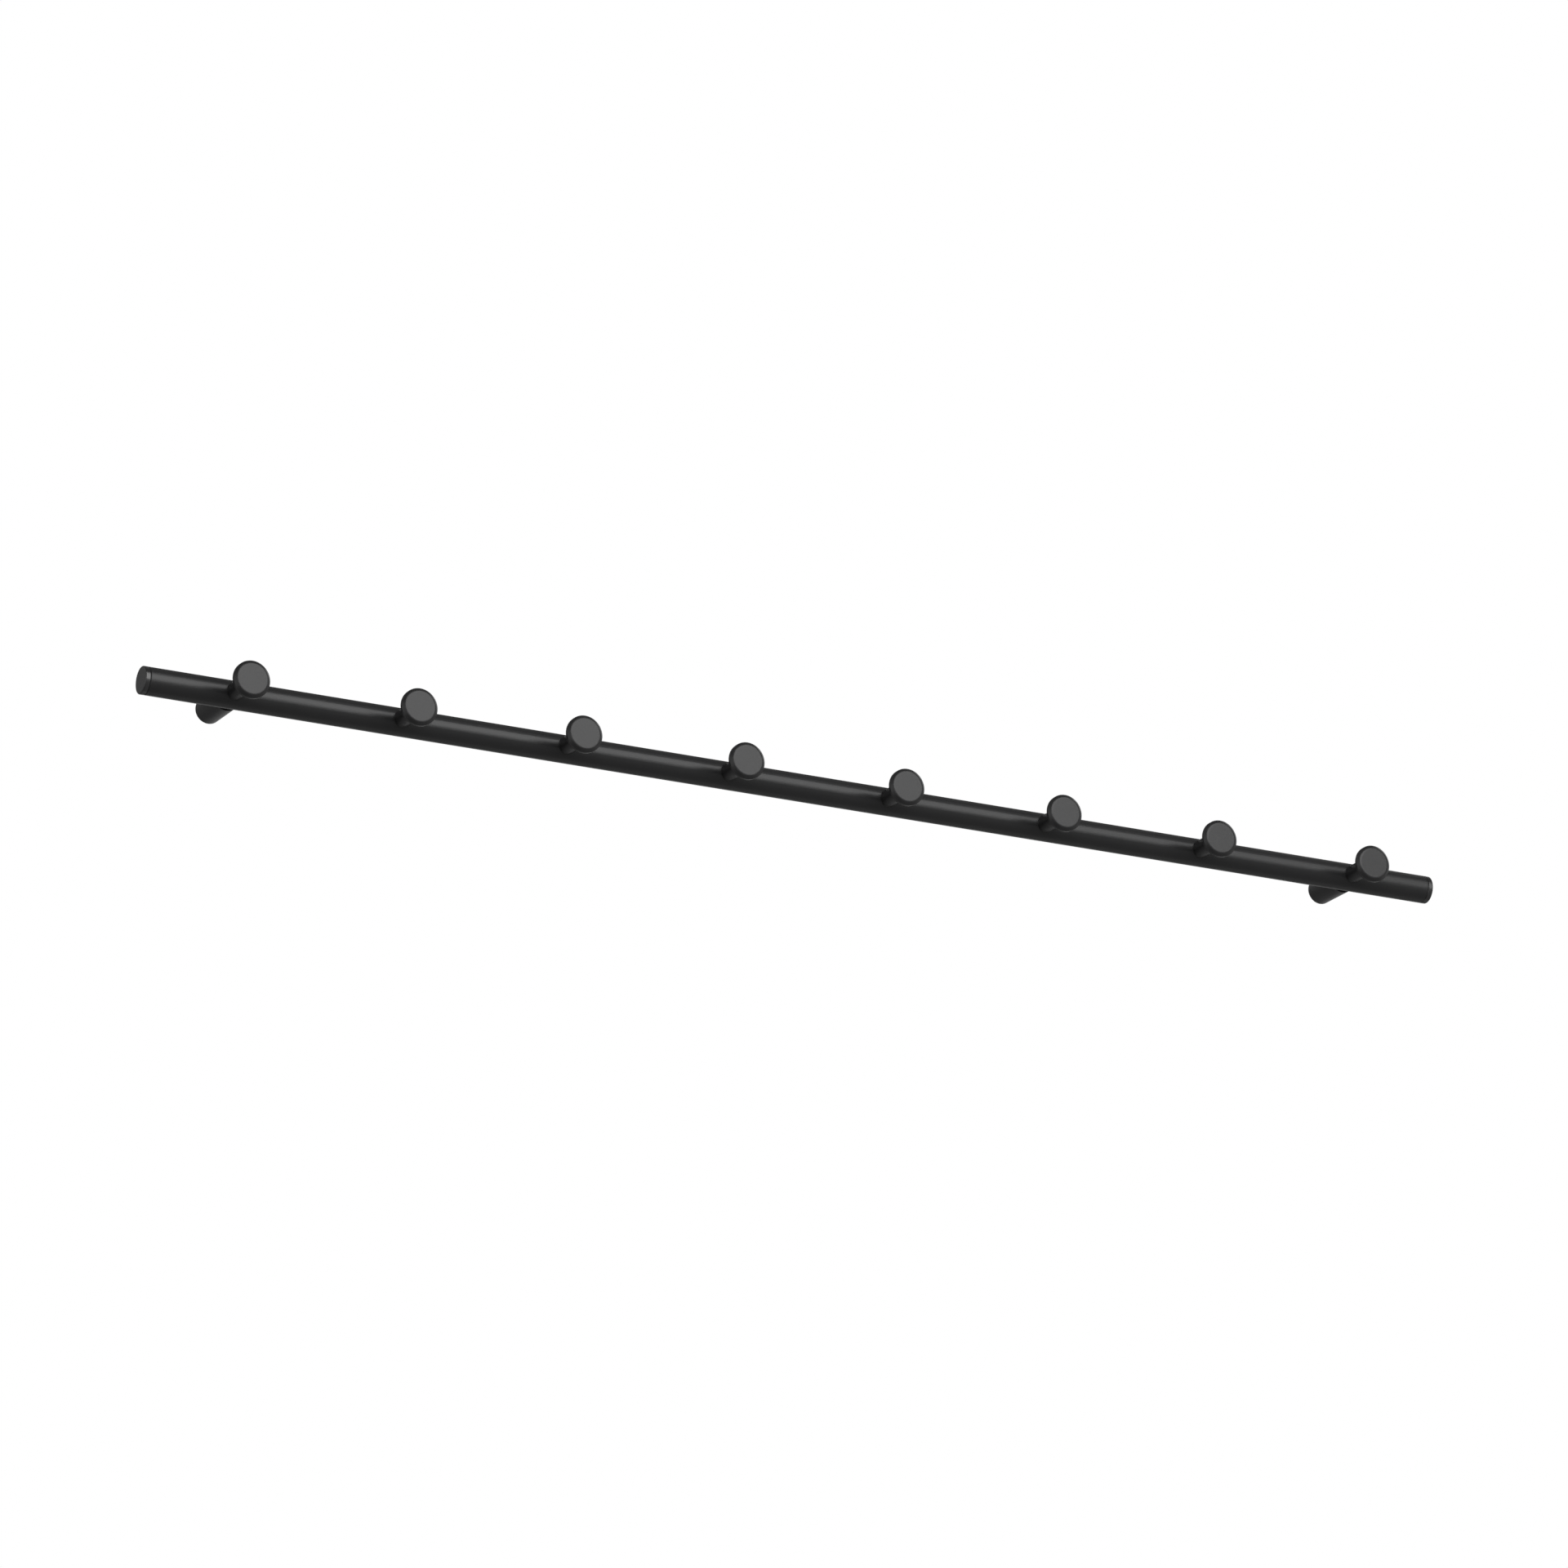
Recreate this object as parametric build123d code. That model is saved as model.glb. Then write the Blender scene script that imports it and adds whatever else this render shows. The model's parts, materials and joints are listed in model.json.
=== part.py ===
from build123d import *
import os
from math import radians, sqrt, tan

# Wall coat rail: a round tube with a row of turned knobs, held off the wall by two posts.
# Millimetres. X runs along the rail, -Y points out of the wall and +Z is up.
# The origin lies on the wall, midway between the posts and level with the tube's axis.

# Tube
tube_diameter = 20.0
tube_wall = 2.0
tube_edge_break = 0.5

# Row of knobs
knob_count = 8
knob_pitch = 125.0
end_margin = 62.5          # from an outer knob's axis to the end of the tube

# Stand-off of the tube
wall_gap = 31.0            # from the wall to the back of the tube

# Knob, turned in one piece
knob_reach = 31.5          # from the front of the tube to the knob's face
knob_diameter = 27.0
knob_face_diameter = 22.6  # where the flat face would meet the cone around it
knob_face_round = 2.6      # rounding of that edge
knob_cone_depth = 2.1      # from the face back to the rim
knob_rim = 2.1             # straight part of the rim
knob_back_bevel = 0.8
stem_diameter = 12.8

# End cap, a ribbed plug with a flush head
cap_head = 4.0
cap_edge_round = 1.0
cap_seam_break = 0.5       # bevel that makes the seam beside the tube's own
spigot_length = 14.0
spigot_wall = 1.8
spigot_clearance = 0.2     # on radius, between spigot and tube
spigot_lead = 0.8          # bevel at the tip
rib_count = 6
rib_radius = 0.7
rib_crush = 0.2            # how much of a rib's crest is pressed flat by the tube

# Wall post
post_set_in = 0.2          # how far the post's side stands inside the tube's outline
post_wall = 2.0
post_web = 5.0             # solid floor between the bore and the tube
post_saddle = 3.4          # how deep the tube lies in the post's flat end
post_edge_break = 0.4

# Wall boss that the post slides over
boss_clearance = 0.1       # on radius
boss_length = 18.0
boss_edge_break = 0.6
wall_hole_diameter = 6.0
wall_head_diameter = 11.0  # countersink for the wall screw

# M5 screws: countersunk ones behind the tube, socket-head ones in the posts
screw_diameter = 5.0
screw_clearance = 0.25     # on radius, in holes that a screw passes through
thread_clearance = 0.05    # on radius, in tapped holes
screw_grip = 11.0          # thread that is in the knob's stem
tip_room = 2.0             # tapped hole beyond the screw's tip
drill_point_angle = 118.0
sunk_head_diameter = 9.2
sunk_key = 3.0             # hexagon across its flats
sunk_key_depth = 1.9
socket_head_diameter = 8.5
socket_head_height = 5.0
socket_head_break = 0.4
socket_key = 4.0
socket_key_depth = 2.5

# M4 grub screw on top of each post, its cone point in the boss's groove
grub_diameter = 4.0
grub_length = 4.0
grub_from_wall = 9.0
grub_sink = 0.3            # below the post's surface
grub_seat_gap = 0.05
grub_point_diameter = 1.2
grub_key = 2.0
grub_key_depth = 1.5

# Radii and places that follow from these
tube_radius = tube_diameter / 2
tube_bore_radius = tube_radius - tube_wall
knob_radius = knob_diameter / 2
stem_radius = stem_diameter / 2
screw_radius = screw_diameter / 2
through_radius = screw_radius + screw_clearance
tapped_radius = screw_radius + thread_clearance
sunk_head_radius = sunk_head_diameter / 2
grub_radius = grub_diameter / 2
spigot_radius = tube_bore_radius - spigot_clearance
post_radius = tube_radius - post_set_in
post_bore_radius = post_radius - post_wall
boss_radius = post_bore_radius - boss_clearance
wall_hole_radius = wall_hole_diameter / 2
wall_head_radius = wall_head_diameter / 2

tube_length = (knob_count - 1) * knob_pitch + 2 * end_margin
tube_end = tube_length / 2
knob_places = [(index - (knob_count - 1) / 2) * knob_pitch for index in range(knob_count)]
post_places = {"left": knob_places[0], "right": knob_places[-1]}

tube_back = -wall_gap
axis_y = tube_back - tube_radius
tube_front = axis_y - tube_radius
knob_face = tube_front - knob_reach
rim_front = knob_face + knob_cone_depth
rim_back = rim_front + knob_rim
head_back = rim_back + knob_back_bevel
screw_tip = tube_front - screw_grip
tapped_floor = screw_tip - tip_room
drill_point = tapped_radius / tan(radians(drill_point_angle / 2))
sunk_head_plane = axis_y + sqrt(tube_radius**2 - sunk_head_radius**2)
web_plane = tube_back + post_web
saddle_end = tube_back - post_saddle
grub_y = -grub_from_wall
grub_top = post_radius - grub_sink
grub_apex = grub_top - grub_length
groove_floor = grub_apex - grub_seat_gap
groove_depth = boss_radius - groove_floor


# Solid of revolution about Y from an outline of (radius, y) points
def turned(*outline):
    return revolve(make_face(Polyline(*outline, close=True)), Axis.Y)


# Outline with one of its corners rounded
def eased(outline, corner, radius):
    return fillet(outline.vertices().sort_by_distance(corner)[:1], radius)


# Round bar along X on the tube's axis
def bar_on_tube_axis(radius, length):
    return Pos(0, axis_y, 0) * Rot(0, 90, 0) * Cylinder(radius, length)


# Hexagon recess that goes down along Z from the origin
def key_recess(across_flats, depth):
    return extrude(RegularPolygon(across_flats / 2, 6, major_radius=False), -depth)


# The same recess in a screw that faces the wall, with its mouth at height y
def key_recess_towards_wall(across_flats, depth, y):
    return Pos(0, y, 0) * Rot(-90, 0, 0) * key_recess(across_flats, depth)


# Tube: countersunk from behind for the inner knobs, drilled plain where the posts stand
def rail_tube():
    rim = tube_radius - tube_edge_break
    chamfered_end = tube_end - tube_edge_break
    section = make_face(
        Polyline(
            (-tube_end, tube_bore_radius),
            (-tube_end, rim),
            (-chamfered_end, tube_radius),
            (chamfered_end, tube_radius),
            (tube_end, rim),
            (tube_end, tube_bore_radius),
            close=True,
        )
    )
    tube = Pos(0, axis_y, 0) * revolve(section, Axis.X)
    plain_hole = turned(
        (0, tube_back + tube_wall),
        (through_radius, tube_back + tube_wall),
        (through_radius, tube_front - tube_wall),
        (0, tube_front - tube_wall),
    )
    cone_foot = sunk_head_plane - (sunk_head_radius - through_radius)
    cone_height = tube_back + tube_wall - cone_foot
    sunk_hole = plain_hole + turned(
        (0, cone_foot),
        (through_radius, cone_foot),
        (through_radius + cone_height, cone_foot + cone_height),
        (0, cone_foot + cone_height),
    )
    for x in knob_places:
        hole = plain_hole if x in post_places.values() else sunk_hole
        tube -= Pos(x, 0, 0) * hole
    return tube


# Knob: flat face in a rounded cone, plain stem coped to the tube, blind tapped hole for its screw
def knob():
    face_edge = (knob_face_diameter / 2, knob_face)
    section = make_face(
        Polyline(
            (0, knob_face),
            face_edge,
            (knob_radius, rim_front),
            (knob_radius, rim_back),
            (knob_radius - knob_back_bevel, head_back),
            (stem_radius, head_back),
            (stem_radius, axis_y),
            (tapped_radius, axis_y),
            (tapped_radius, tapped_floor),
            (0, tapped_floor - drill_point),
            close=True,
        )
    )
    blank = revolve(eased(section, face_edge, knob_face_round), Axis.Y)
    return blank - bar_on_tube_axis(tube_radius, 2 * knob_diameter)


# End cap for the +X end: flush head with a rounded edge, hollow spigot with crush ribs
def end_cap():
    tip = tube_end - spigot_length
    face = tube_end + cap_head
    section = make_face(
        Polyline(
            (face, 0),
            (face, tube_radius),
            (tube_end + cap_seam_break, tube_radius),
            (tube_end, tube_radius - cap_seam_break),
            (tube_end, spigot_radius),
            (tip + spigot_lead, spigot_radius),
            (tip, spigot_radius - spigot_lead),
            (tip, spigot_radius - spigot_wall),
            (tube_end, spigot_radius - spigot_wall),
            (tube_end, 0),
            close=True,
        )
    )
    pressed_bore = make_face(
        Polyline(
            (tube_end, 0),
            (tube_end, tube_bore_radius),
            (tip + 2 * spigot_lead, tube_bore_radius),
            (tip, tube_bore_radius - 2 * spigot_lead),
            (tip, 0),
            close=True,
        )
    )
    rib_place = Pos(tube_end - spigot_length / 2, 0, tube_bore_radius + rib_crush - rib_radius)
    rib = rib_place * Rot(0, 90, 0) * Cylinder(rib_radius, spigot_length)
    rib = rib & revolve(pressed_bore, Axis.X)
    cap = revolve(eased(section, (face, tube_radius), cap_edge_round), Axis.X)
    for index in range(rib_count):
        cap += Rot(index * 360 / rib_count, 0, 0) * rib
    return cap


# Post: bored from the wall side, a saddle for the tube in its flat end, a floor that the post screw pulls on
def wall_post():
    sleeve = turned(
        (post_radius - post_edge_break, 0),
        (post_radius, -post_edge_break),
        (post_radius, saddle_end),
        (through_radius, saddle_end),
        (through_radius, web_plane),
        (post_bore_radius, web_plane),
        (post_bore_radius, -post_edge_break),
        (post_bore_radius + post_edge_break, 0),
    )
    grub_hole = Pos(0, grub_y, post_radius) * Cylinder(grub_radius + thread_clearance, 2 * post_radius)
    return sleeve - bar_on_tube_axis(tube_radius, 2 * post_radius + tube_diameter) - grub_hole


# Wall boss: countersunk through hole for the wall screw, groove for the grub screw's point
def wall_boss():
    return turned(
        (wall_hole_radius, 0),
        (boss_radius, 0),
        (boss_radius, grub_y + groove_depth),
        (groove_floor, grub_y),
        (boss_radius, grub_y - groove_depth),
        (boss_radius, boss_edge_break - boss_length),
        (boss_radius - boss_edge_break, -boss_length),
        (wall_head_radius, -boss_length),
        (wall_hole_radius, wall_head_radius - wall_hole_radius - boss_length),
    )


# Countersunk screw that holds an inner knob from behind the tube
def knob_screw():
    screw = turned(
        (0, sunk_head_plane),
        (sunk_head_radius, sunk_head_plane),
        (screw_radius, sunk_head_plane - (sunk_head_radius - screw_radius)),
        (screw_radius, screw_tip),
        (0, screw_tip),
    )
    return screw - key_recess_towards_wall(sunk_key, sunk_key_depth, sunk_head_plane)


# Socket-head screw that clamps post, tube and outer knob together
def post_screw():
    head_top = web_plane + socket_head_height
    head_radius = socket_head_diameter / 2
    screw = turned(
        (0, head_top),
        (head_radius - socket_head_break, head_top),
        (head_radius, head_top - socket_head_break),
        (head_radius, web_plane),
        (screw_radius, web_plane),
        (screw_radius, screw_tip),
        (0, screw_tip),
    )
    return screw - key_recess_towards_wall(socket_key, socket_key_depth, head_top)


# Grub screw that stands upright in the post, its cone point in the boss's groove
def grub_screw():
    point_radius = grub_point_diameter / 2
    section = make_face(
        Polyline(
            (0, grub_top),
            (grub_radius, grub_top),
            (grub_radius, grub_apex + grub_radius),
            (point_radius, grub_apex + point_radius),
            (0, grub_apex + point_radius),
            close=True,
        )
    )
    screw = Rot(90, 0, 0) * revolve(section, Axis.Y)
    return Pos(0, grub_y, 0) * (screw - Pos(0, 0, grub_top) * key_recess(grub_key, grub_key_depth))


# The same piece at each of several places along the rail
def row_of(piece, places):
    return [Pos(x, 0, 0) * piece for x in places]


def write(name, *pieces):
    solids = [solid for piece in pieces for solid in piece.solids()]
    export_step(Compound(label=name, children=solids), f"parts/{name}.step")


os.makedirs("parts", exist_ok=True)

write("rail_tube", rail_tube())

cap_right = end_cap()
write("end_cap_right", Pos(0, axis_y, 0) * cap_right)
write("end_cap_left", Pos(0, axis_y, 0) * Rot(0, 0, 180) * cap_right)

for number, placed_knob in enumerate(row_of(knob(), knob_places), start=1):
    write(f"knob_{number}", placed_knob)

for side, x in post_places.items():
    write(f"wall_post_{side}", Pos(x, 0, 0) * wall_post())
    write(f"wall_boss_{side}", Pos(x, 0, 0) * wall_boss())

inner_places = [x for x in knob_places if x not in post_places.values()]
write("knob_screws", *row_of(knob_screw(), inner_places))
write("post_screws", *row_of(post_screw(), post_places.values()))
write("grub_screws", *row_of(grub_screw(), post_places.values()))
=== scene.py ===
import json
import math
from itertools import product
import bmesh
import bpy
from mathutils import Matrix, Vector


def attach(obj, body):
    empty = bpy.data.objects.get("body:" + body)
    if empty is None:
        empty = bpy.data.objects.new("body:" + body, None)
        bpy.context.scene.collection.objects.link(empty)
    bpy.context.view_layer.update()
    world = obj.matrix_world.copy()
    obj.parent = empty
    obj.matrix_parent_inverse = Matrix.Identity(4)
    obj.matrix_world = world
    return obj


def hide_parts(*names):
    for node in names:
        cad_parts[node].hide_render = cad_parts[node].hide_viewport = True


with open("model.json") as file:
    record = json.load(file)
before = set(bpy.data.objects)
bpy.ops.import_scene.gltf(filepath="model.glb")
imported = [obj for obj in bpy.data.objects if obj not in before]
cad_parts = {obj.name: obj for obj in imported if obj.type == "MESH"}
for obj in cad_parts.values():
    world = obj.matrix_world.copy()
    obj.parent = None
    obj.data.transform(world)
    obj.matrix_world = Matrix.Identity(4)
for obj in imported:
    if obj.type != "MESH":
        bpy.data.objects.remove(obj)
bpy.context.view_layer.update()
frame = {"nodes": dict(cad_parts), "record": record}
scene = bpy.context.scene
scene.view_settings.view_transform = "Standard"
print("coat rail loaded:", len(frame["nodes"]), "nodes")


# A socket of a shader tree that can be used in sums: each operator adds a Math node
class Wire:
    def __init__(self, tree, socket=None):
        self.tree = tree
        self.socket = socket

    # any node: its settings first, then the values or links of its sockets
    def node(self, kind, settings=None, sockets=None):
        made = self.tree.nodes.new("ShaderNode" + kind)
        for name, value in (settings or {}).items():
            setattr(made, name, value)
        for name, value in (sockets or {}).items():
            if isinstance(value, Wire):
                self.tree.links.new(value.socket, made.inputs[name])
            else:
                made.inputs[name].default_value = value
        return made

    def take(self, made, output=0):
        return Wire(self.tree, made.outputs[output])

    def maths(self, operation, first, second):
        return self.take(self.node("Math", {"operation": operation}, {0: first, 1: second}))

    def __add__(self, other):
        return self.maths("ADD", self, other)

    __radd__ = __add__

    def __mul__(self, other):
        return self.maths("MULTIPLY", self, other)

    __rmul__ = __mul__

    def __sub__(self, other):
        return self.maths("SUBTRACT", self, other)

    def __rsub__(self, other):
        return self.maths("SUBTRACT", other, self)


def newMaterial(name):
    material = bpy.data.materials.new(name)
    material.use_nodes = True
    material.node_tree.nodes.clear()
    return material, Wire(material.node_tree)


# A noise is given as its cells per metre, detail and roughness
def noiseOn(wire, place, noise):
    scale, detail, rough = noise
    made = wire.node("TexNoise", None, {"Vector": place, "Scale": scale, "Detail": detail, "Roughness": rough})
    return wire.take(made, "Fac")


# Tone picks the colour between dark and light, gloss the roughness within its spread, and height feeds the bump
def closeMaterial(wire, settings, tone, gloss, height):
    shade = wire.node("Mix", {"data_type": "RGBA"},
                      {"Factor": tone, 6: settings["dark"], 7: settings["light"]})
    bump = wire.node("Bump", None, {"Strength": settings["bump"], "Distance": settings["height"], "Height": height})
    low = settings["roughness"] - settings["roughnessSpread"] / 2
    sockets = {
        "Base Color": wire.take(shade, 2),
        "Roughness": gloss * settings["roughnessSpread"] + low,
        "Normal": wire.take(bump),
    }
    surface = wire.node("BsdfPrincipled", None, {**sockets, **settings["fixed"]})
    wire.node("OutputMaterial", None, {"Surface": wire.take(surface, "BSDF")})


# Matt black powder coat: a fine pebbled skin over a slow orange peel, with a faint drift in its tone
powderCoat = {
    "dark": (0.0160, 0.0160, 0.0166, 1),
    "light": (0.0240, 0.0240, 0.0246, 1),
    "fixed": {"Specular IOR Level": 0.55},
    "roughness": 0.362,
    "roughnessSpread": 0.10,
    "grain": (2600.0, 2.0, 0.55),
    "peel": (620.0, 1.0, 0.5),
    "peelShare": 0.3,
    "drift": (190.0, 3.0, 0.6),
    "driftShare": 0.6,
    "bump": 0.7,
    "height": 0.000067,      # metres
}


def makePowderCoat(name, settings):
    material, wire = newMaterial(name)
    place = wire.take(wire.node("TexCoord"), "Object")
    grain, peel, drift = (noiseOn(wire, place, settings[key]) for key in ("grain", "peel", "drift"))
    skin = grain * (1 - settings["peelShare"]) + peel * settings["peelShare"]
    tone = skin * (1 - settings["driftShare"]) + drift * settings["driftShare"]
    closeMaterial(wire, settings, tone, skin, skin)
    return material


# Moulded black plug: smoother and glossier than the coat, with a faint moulded grain
plugPlastic = {
    "dark": (0.0205, 0.0205, 0.0211, 1),
    "light": (0.0245, 0.0245, 0.0251, 1),
    "fixed": {"Specular IOR Level": 0.95},
    "roughness": 0.25,
    "roughnessSpread": 0.06,
    "grain": (3800.0, 1.0, 0.5),
    "bump": 0.6,
    "height": 0.00002,
}


def makePlugPlastic(name, settings):
    material, wire = newMaterial(name)
    grain = noiseOn(wire, wire.take(wire.node("TexCoord"), "Object"), settings["grain"])
    closeMaterial(wire, settings, grain, grain, grain)
    return material


# Plated or blackened steel of the fixings: cloudy plating with fine marks
zincSteel = {
    "dark": (0.42, 0.43, 0.45, 1),
    "light": (0.62, 0.63, 0.64, 1),
    "fixed": {"Metallic": 1.0},
    "roughness": 0.30,
    "roughnessSpread": 0.16,
    "clouds": (420.0, 3.0, 0.6),
    "marks": (5200.0, 1.0, 0.5),
    "bump": 0.4,
    "height": 0.000008,
}
blackSteel = {
    "dark": (0.030, 0.030, 0.032, 1),
    "light": (0.060, 0.060, 0.064, 1),
    "fixed": {"Metallic": 1.0},
    "roughness": 0.36,
    "roughnessSpread": 0.14,
    "clouds": (900.0, 3.0, 0.6),
    "marks": (6000.0, 1.0, 0.5),
    "bump": 0.4,
    "height": 0.000008,
}


def makeSteel(name, settings):
    material, wire = newMaterial(name)
    place = wire.take(wire.node("TexCoord"), "Object")
    clouds, marks = (noiseOn(wire, place, settings[key]) for key in ("clouds", "marks"))
    closeMaterial(wire, settings, clouds, clouds, marks)
    return material


# Turned and plated wall bosses: the tool's uneven rings run round each boss's own axis
turnedZinc = {
    **zincSteel,
    "bossPlace": 0.4375,     # metres, from the rail's middle to each boss's axis
    "rings": (5200.0, 2.0, 0.6),
    "ringShare": 0.6,
    "height": 0.00003,
}


def makeTurnedSteel(name, settings):
    material, wire = newMaterial(name)
    place = wire.take(wire.node("TexCoord"), "Object")
    parts = wire.node("SeparateXYZ", None, {0: place})
    across = wire.maths("ABSOLUTE", wire.take(parts, "X"), 0) - settings["bossPlace"]
    up = wire.take(parts, "Z")
    radius = wire.maths("POWER", across * across + up * up, 0.5)
    rings = noiseOn(wire, wire.take(wire.node("CombineXYZ", None, {"X": radius})), settings["rings"])
    clouds = noiseOn(wire, place, settings["clouds"])
    tone = clouds * (1 - settings["ringShare"]) + rings * settings["ringShare"]
    closeMaterial(wire, settings, tone, tone, rings)
    return material


finishes = {
    "black_powder_coat": makePowderCoat("blackPowderCoat", powderCoat),
    "black_plug": makePlugPlastic("blackPlug", plugPlastic),
    "zinc_plated_steel": makeSteel("zincPlatedSteel", zincSteel),
    "black_oxide_steel": makeSteel("blackOxideSteel", blackSteel),
}
turnedFinish = makeTurnedSteel("turnedZincSteel", turnedZinc)
for part in frame["record"]["subparts"]:
    mesh = frame["nodes"][part["node"]].data
    mesh.materials.clear()
    mesh.materials.append(turnedFinish if "boss" in part["node"] else finishes[part["material_slot"]])
print("finishes given:", len(finishes) + 1)


# Fixings with cut threads. Sizes in millimetres: top is where the head's flat lies on its axis, and the
# outline gives radius and depth below it, down to the shank
knobScrew = {
    "node": "knob_screws", "slot": "zinc_plated_steel",
    "axis": "y", "top": -32.1209, "length": 29.8791,
    "outline": [(4.25, 0.0), (4.34, 0.0), (4.46, 0.04), (4.50, 0.10), (2.50, 2.10), (2.46, 2.30)],
    "key": 3.0, "keyDepth": 1.9,
    "threadFrom": 12.0, "pitch": 0.8, "crest": 2.5, "root": 2.05, "tip": 1.9,
    "count": 6, "first": -312.5, "step": 125.0,
}
postScrew = {
    "node": "post_screws", "slot": "zinc_plated_steel",
    "axis": "y", "top": -21.0, "length": 41.0,
    "outline": [(3.75, 0.0), (3.85, 0.0), (4.10, 0.10), (4.25, 0.40), (4.25, 4.85), (4.15, 5.0), (2.50, 5.0),
                (2.46, 5.2)],
    "key": 4.0, "keyDepth": 2.5,
    "threadFrom": 19.0, "pitch": 0.8, "crest": 2.5, "root": 2.05, "tip": 1.9,
    "count": 2, "first": -437.5, "step": 875.0,
}
grubScrew = {
    "node": "grub_screws", "slot": "black_oxide_steel",
    "axis": "z", "top": 9.5, "length": 3.4, "setBack": -9.0,
    "outline": [(1.62, 0.0), (1.70, 0.0), (1.85, 0.12)],
    "key": 2.0, "keyDepth": 1.5,
    "threadFrom": 0.2, "pitch": 0.7, "crest": 2.0, "root": 1.62, "tip": 0.6,
    "count": 2, "first": -437.5, "step": 875.0,
}
mmPerMetre = 1000
screwForm = {
    "round": 36,             # points in a ring
    "perPitch": 6,           # rings in one pitch of the thread
    "rootShare": 0.2,        # of half a pitch: flat root, then flank, and the rest is flat crest
    "flankShare": 0.65,
    "recessEdge": 0.14,      # mm, bevel at the mouth of the key recess
    "mouthRoom": 0.06,       # mm, from the hexagon's corners to the mouth, then to a ring that holds the flat
    "recessPoint": 0.25,     # depth of the recess's pointed floor, in halves of the key's width
    "sharpAngle": 32.0,      # degrees
}


# Radius of the thread's skin at a depth and at a share of a turn
def threadRadius(screw, depth, turn):
    swing = abs(2 * ((depth / screw["pitch"] + turn) % 1) - 1)
    rise = min(max((swing - screwForm["rootShare"]) / screwForm["flankShare"], 0), 1)
    cut = screw["root"] + (screw["crest"] - screw["root"]) * rise
    shank = screw["outline"][-1][0]
    fade = min((depth - screw["threadFrom"]) / screw["pitch"], 1)
    return min(shank + (cut - shank) * fade, screw["tip"] + screw["length"] - depth)


# Rings of the skin from the floor of the key recess over the head and down to the tip
def screwRings(screw):
    turns = [index / screwForm["round"] for index in range(screwForm["round"])]
    flat = screw["key"] / 2
    hexagon = [flat / math.cos((turn * 2 * math.pi) % (math.pi / 3) - math.pi / 6) for turn in turns]
    mouth = flat / math.cos(math.pi / 6) + screwForm["mouthRoom"]
    rings = [(screw["keyDepth"], hexagon), (screwForm["recessEdge"], hexagon)]
    outline = [(mouth, 0.0), (mouth + screwForm["mouthRoom"], 0.0)] + screw["outline"]
    rings += [(depth, [radius] * len(turns)) for radius, depth in outline]
    step = screw["pitch"] / screwForm["perPitch"]
    rows = int((screw["length"] - screw["threadFrom"]) / step)
    for index in range(rows + 1):
        depth = screw["threadFrom"] + index * step
        rings.append((depth, [threadRadius(screw, depth, turn) for turn in turns]))
    rings.append((screw["length"], [screw["tip"]] * len(turns)))
    return turns, rings


def makeScrewMesh(screw):
    turns, rings = screwRings(screw)
    count = len(turns)
    made = bmesh.new()

    def point(radius, turn, depth):
        across, along = radius * math.cos(turn * 2 * math.pi), radius * math.sin(turn * 2 * math.pi)
        height = screw["top"] - depth
        if screw["axis"] == "y":
            return Vector((across, height, along)) / mmPerMetre
        return Vector((across, screw["setBack"] + along, height)) / mmPerMetre

    rows = [[made.verts.new(point(radius, turn, depth)) for radius, turn in zip(radii, turns)]
            for depth, radii in rings]
    for upper, lower in zip(rows, rows[1:]):
        for index in range(count):
            following = (index + 1) % count
            made.faces.new((upper[index], upper[following], lower[following], lower[index]))
    recessFloor = made.verts.new(point(0, 0, screw["keyDepth"] + screwForm["recessPoint"] * screw["key"] / 2))
    tipMiddle = made.verts.new(point(0, 0, screw["length"]))
    for middle, row in ((recessFloor, rows[0]), (tipMiddle, rows[-1])):
        for index in range(count):
            made.faces.new((middle, row[index], row[(index + 1) % count]))
    bmesh.ops.recalc_face_normals(made, faces=made.faces)
    mesh = bpy.data.meshes.new(screw["node"] + "One")
    made.to_mesh(mesh)
    made.free()
    mesh.shade_smooth()
    mesh.set_sharp_from_angle(angle=math.radians(screwForm["sharpAngle"]))
    return mesh


# Geometry Nodes tree that sets one screw in a row along the rail
def makeRowTree():
    tree = bpy.data.node_groups.new("screwRow", "GeometryNodeTree")
    tree.interface.new_socket("Row", in_out="OUTPUT", socket_type="NodeSocketGeometry")
    for name, kind in (("Screw", "Object"), ("Count", "Int"), ("First", "Float"), ("Step", "Float"),
                       ("Finish", "Material")):
        tree.interface.new_socket(name, in_out="INPUT", socket_type="NodeSocket" + kind)
    given = tree.nodes.new("NodeGroupInput").outputs
    start = tree.nodes.new("ShaderNodeCombineXYZ")
    stride = tree.nodes.new("ShaderNodeCombineXYZ")
    line = tree.nodes.new("GeometryNodeMeshLine")
    source = tree.nodes.new("GeometryNodeObjectInfo")
    placed = tree.nodes.new("GeometryNodeInstanceOnPoints")
    solid = tree.nodes.new("GeometryNodeRealizeInstances")
    coated = tree.nodes.new("GeometryNodeSetMaterial")
    result = tree.nodes.new("NodeGroupOutput")
    for left, right in (
        (given["First"], start.inputs["X"]), (given["Step"], stride.inputs["X"]),
        (given["Count"], line.inputs["Count"]), (start.outputs[0], line.inputs["Start Location"]),
        (stride.outputs[0], line.inputs["Offset"]), (given["Screw"], source.inputs["Object"]),
        (line.outputs["Mesh"], placed.inputs["Points"]),
        (source.outputs["Geometry"], placed.inputs["Instance"]),
        (placed.outputs["Instances"], solid.inputs["Geometry"]),
        (solid.outputs["Geometry"], coated.inputs["Geometry"]),
        (given["Finish"], coated.inputs["Material"]), (coated.outputs["Geometry"], result.inputs["Row"]),
    ):
        tree.links.new(left, right)
    return tree


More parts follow.
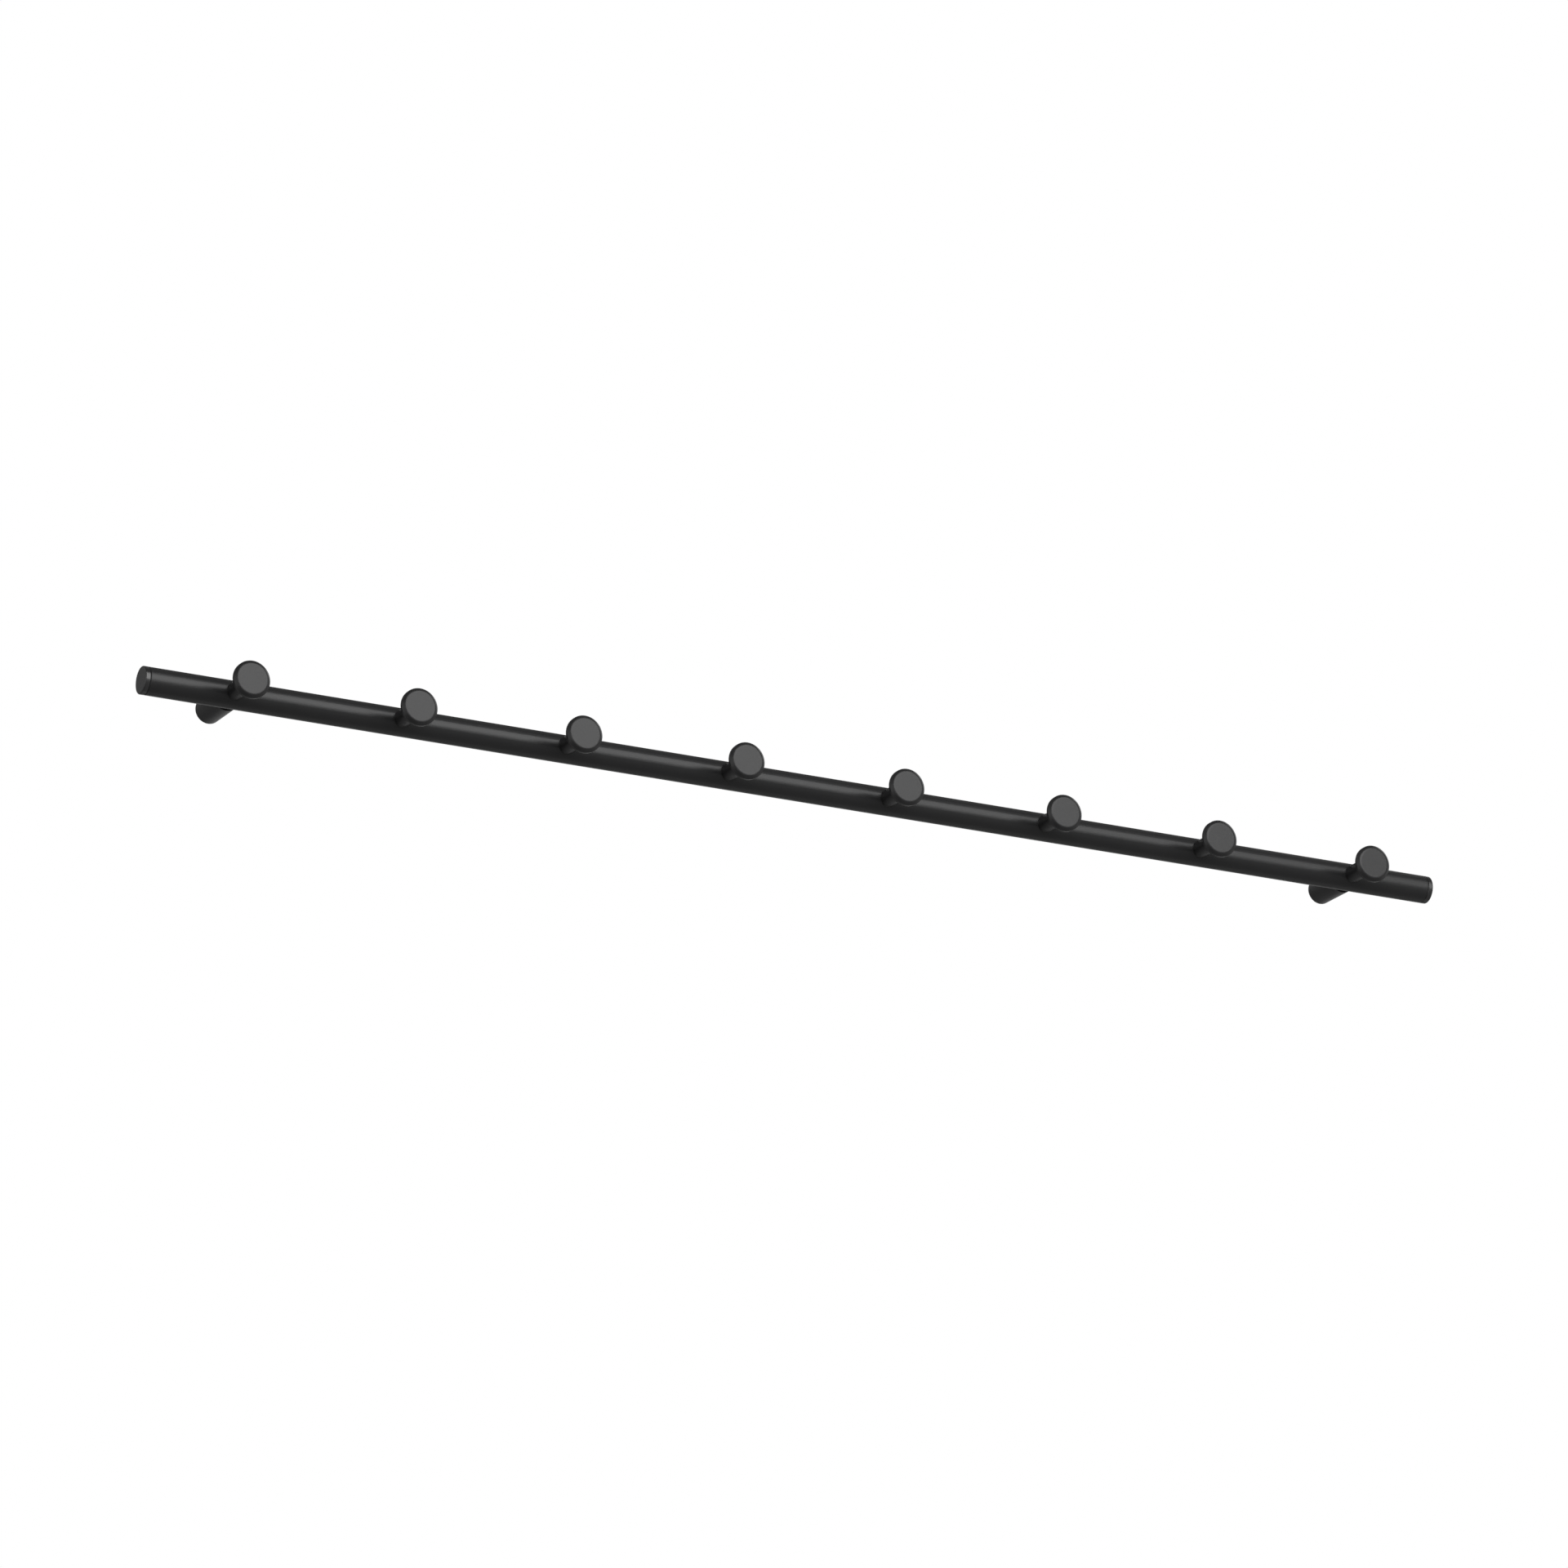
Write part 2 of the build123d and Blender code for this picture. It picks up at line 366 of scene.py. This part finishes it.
def makeScrewRow(tree, screw):
    one = bpy.data.objects.new(screw["node"] + "One", makeScrewMesh(screw))
    scene.collection.objects.link(one)
    host = bpy.data.objects.new(screw["node"] + "Host", bpy.data.meshes.new(screw["node"] + "Host"))
    scene.collection.objects.link(host)
    modifier = host.modifiers.new("row", "NODES")
    modifier.node_group = tree
    values = {"Screw": one, "Count": screw["count"], "First": screw["first"] / mmPerMetre,
              "Step": screw["step"] / mmPerMetre, "Finish": finishes[screw["slot"]]}
    for socket in tree.interface.items_tree:
        if socket.name in values:
            modifier[socket.identifier] = values[socket.name]
    bpy.context.view_layer.update()
    depsgraph = bpy.context.evaluated_depsgraph_get()
    mesh = bpy.data.meshes.new_from_object(host.evaluated_get(depsgraph), depsgraph=depsgraph)
    host.modifiers.remove(modifier)
    bpy.data.objects.remove(host)
    bpy.data.objects.remove(one)
    mesh.name = screw["node"] + "Threaded"
    row = bpy.data.objects.new(mesh.name, mesh)
    scene.collection.objects.link(row)
    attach(row, "root")
    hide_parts(screw["node"])
    print(screw["node"], "threaded:", len(mesh.polygons), "faces")


screwRow = makeRowTree()
for screw in (knobScrew, postScrew, grubScrew):
    makeScrewRow(screwRow, screw)


# Camera at the photograph's view: from below and from the rail's left, far off with a long lens
photoView = {
    "azimuth": 24.853,      # degrees, towards the rail's left
    "rise": 17.270,         # degrees, how far the view climbs
    "roll": 1.460,          # degrees
    "distance": 6.523,      # metres
    "target": (-0.01537, -0.041, 0.0009),
    "focalPixels": 11285.7,  # focal length in pixels of the photograph
    "framePixels": 1920,
    "sensor": 36.0,         # mm
    "clip": (0.05, 200.0),  # metres
}


def makeCamera(view):
    azimuth, rise, roll = (math.radians(view[key]) for key in ("azimuth", "rise", "roll"))
    ahead = Vector((math.sin(azimuth) * math.cos(rise), math.cos(azimuth) * math.cos(rise), math.sin(rise)))
    level = Vector((math.cos(azimuth), -math.sin(azimuth), 0))
    upright = level.cross(ahead)
    right = level * math.cos(roll) + upright * math.sin(roll)
    up = upright * math.cos(roll) - level * math.sin(roll)
    data = bpy.data.cameras.new("photoCamera")
    data.sensor_width = view["sensor"]
    data.lens = view["sensor"] * view["focalPixels"] / view["framePixels"]
    data.clip_start, data.clip_end = view["clip"]
    camera = bpy.data.objects.new("photoCamera", data)
    turn = Matrix((right, up, -ahead)).transposed()
    camera.matrix_world = Matrix.Translation(Vector(view["target"]) - ahead * view["distance"]) @ turn.to_4x4()
    scene.collection.objects.link(camera)
    scene.camera = camera


makeCamera(photoView)
print("camera placed")


# Plain studio: a white surround, a pale floor far below and one broad soft box in front, above the rail
studio = {
    "white": (1, 1, 1, 1),
    "surround": 0.25,        # strength of the white surround as light
    "floorDrop": 6.6,        # metres below the rail
    "floorSize": 60.0,
    "floorColour": (0.86, 0.86, 0.86, 1),
    "keyPlace": (0.20, -2.46, 1.22),
    "keySize": (3.4, 2.5),
    "keyPower": 64.5,
}


def whiteForRays(wire):
    path = wire.node("LightPath")
    seen = wire.take(path, "Is Camera Ray") + wire.take(path, "Is Glossy Ray")
    return seen + wire.take(path, "Is Transmission Ray")


def makeSurround(settings):
    world = bpy.data.worlds.new("whiteSurround")
    world.use_nodes = True
    world.node_tree.nodes.clear()
    wire = Wire(world.node_tree)
    seen = whiteForRays(wire)
    light = wire.node("Background", None, {"Color": settings["white"], "Strength": settings["surround"]})
    white = wire.node("Background", None, {"Color": settings["white"], "Strength": 1.0})
    mixed = wire.node("MixShader", None, {0: seen, 1: wire.take(light), 2: wire.take(white)})
    wire.node("OutputWorld", None, {"Surface": wire.take(mixed)})
    scene.world = world


def makeFloor(settings):
    half = settings["floorSize"] / 2
    low = -settings["floorDrop"]
    mesh = bpy.data.meshes.new("paleFloor")
    mesh.from_pydata([(-half, -half, low), (half, -half, low), (half, half, low), (-half, half, low)],
                     [], [(0, 1, 2, 3)])
    floor = bpy.data.objects.new("paleFloor", mesh)
    scene.collection.objects.link(floor)
    material, wire = newMaterial("paleFloor")
    pale = wire.node("BsdfDiffuse", None, {"Color": settings["floorColour"]})
    white = wire.node("Emission", None, {"Color": settings["white"], "Strength": 1.0})
    mixed = wire.node("MixShader", None, {0: whiteForRays(wire), 1: wire.take(pale), 2: wire.take(white)})
    wire.node("OutputMaterial", None, {"Surface": wire.take(mixed)})
    mesh.materials.append(material)


def makeKeyBox(settings):
    data = bpy.data.lights.new("keyBox", "AREA")
    data.shape = "RECTANGLE"
    data.size, data.size_y = settings["keySize"]
    data.energy = settings["keyPower"]
    lamp = bpy.data.objects.new("keyBox", data)
    place = Vector(settings["keyPlace"])
    lamp.matrix_world = Matrix.Translation(place) @ place.to_track_quat("Z", "Y").to_matrix().to_4x4()
    scene.collection.objects.link(lamp)


makeSurround(studio)
makeFloor(studio)
makeKeyBox(studio)
print("studio ready")


# Dark and grey glowing cards around the rail that only its gloss sees: painted reflections in the black coat,
# darker or paler direction by direction, that light nothing else
paintedReflectionCards = {
    "front": -8.0,           # metres
    "back": 3.0,
    "side": 6.0,
    "top": 2.6,
    "bottom": -3.0,
    "horizonLow": -1.2,      # the back is paler from here up
    "horizonTop": 0.3,       # and open to the white surround from here
    "openTop": 1.6,          # up to here
    "openFrom": -0.3,        # and to the right of this
    "stripFront": 1.2,       # a paler strip of the bottom starts here
    "split": 0.0,            # the bottom and the horizon are darker to the left of this
    "wing": 2.4,             # behind wingFront the top and the back's top are pale beyond this, which paints pale reflections in the views from behind
    "wingFront": 0.2,        # which lights the views from behind
    "tones": {"front": 0.36, "top": 0.05, "left": 0.65, "right": 0.38, "bottomLeft": 0.12, "bottomRight": 0.225,
              "strip": 0.35, "sill": 0.125, "horizonLeft": 0.20, "horizonRight": 0.47, "backLeft": 0.21,
              "backTop": 0.0, "topBack": 0.15, "topLeft": 0.5, "topRight": 1.0, "backTopLeft": 0.5,
              "backTopRight": 1.0},
}


def makePaintedReflectionCards(settings):
    front, back, side = settings["front"], settings["back"], settings["side"]
    low, high, strip = settings["bottom"], settings["top"], settings["stripFront"]
    wing, middle, split = settings["wing"], settings["wingFront"], settings["split"]
    paler, opened, closed = settings["horizonLow"], settings["horizonTop"], settings["openTop"]
    spans = {
        "front": ((-side, side), (front, front), (low, high)),
        "top": ((-side, side), (front, middle), (high, high)),
        "topBack": ((-wing, wing), (middle, back), (high, high)),
        "topLeft": ((-side, -wing), (middle, back), (high, high)),
        "topRight": ((wing, side), (middle, back), (high, high)),
        "left": ((-side, -side), (front, back), (low, high)),
        "right": ((side, side), (front, back), (low, high)),
        "bottomLeft": ((-side, split), (front, strip), (low, low)),
        "bottomRight": ((split, side), (front, strip), (low, low)),
        "strip": ((-side, side), (strip, back), (low, low)),
        "sill": ((-side, side), (back, back), (low, paler)),
        "horizonLeft": ((-side, split), (back, back), (paler, opened)),
        "horizonRight": ((split, side), (back, back), (paler, opened)),
        "backLeft": ((-side, settings["openFrom"]), (back, back), (opened, closed)),
        "backTop": ((-wing, wing), (back, back), (closed, high)),
        "backTopLeft": ((-side, -wing), (back, back), (closed, high)),
        "backTopRight": ((wing, side), (back, back), (closed, high)),
    }
    for name, (xs, ys, zs) in spans.items():
        mesh = bpy.data.meshes.new(name + "Card")
        mesh.from_pydata(sorted(set(product(xs, ys, zs))), [], [(0, 1, 3, 2)])
        material, wire = newMaterial(name + "Card")
        tone = settings["tones"][name]
        # each card glows with its tone and only reflections see it: this glow is a painted reflection, not a lamp
        paintedGlow = wire.node("Emission", None, {"Color": (tone, tone, tone, 1), "Strength": 1.0})
        wire.node("OutputMaterial", None, {"Surface": wire.take(paintedGlow)})
        mesh.materials.append(material)
        card = bpy.data.objects.new(name + "Card", mesh)
        scene.collection.objects.link(card)
        for kind in ("camera", "diffuse", "shadow", "transmission", "volume_scatter"):
            setattr(card, "visible_" + kind, False)


makePaintedReflectionCards(paintedReflectionCards)
print("gloss cards placed:", len(paintedReflectionCards["tones"]))
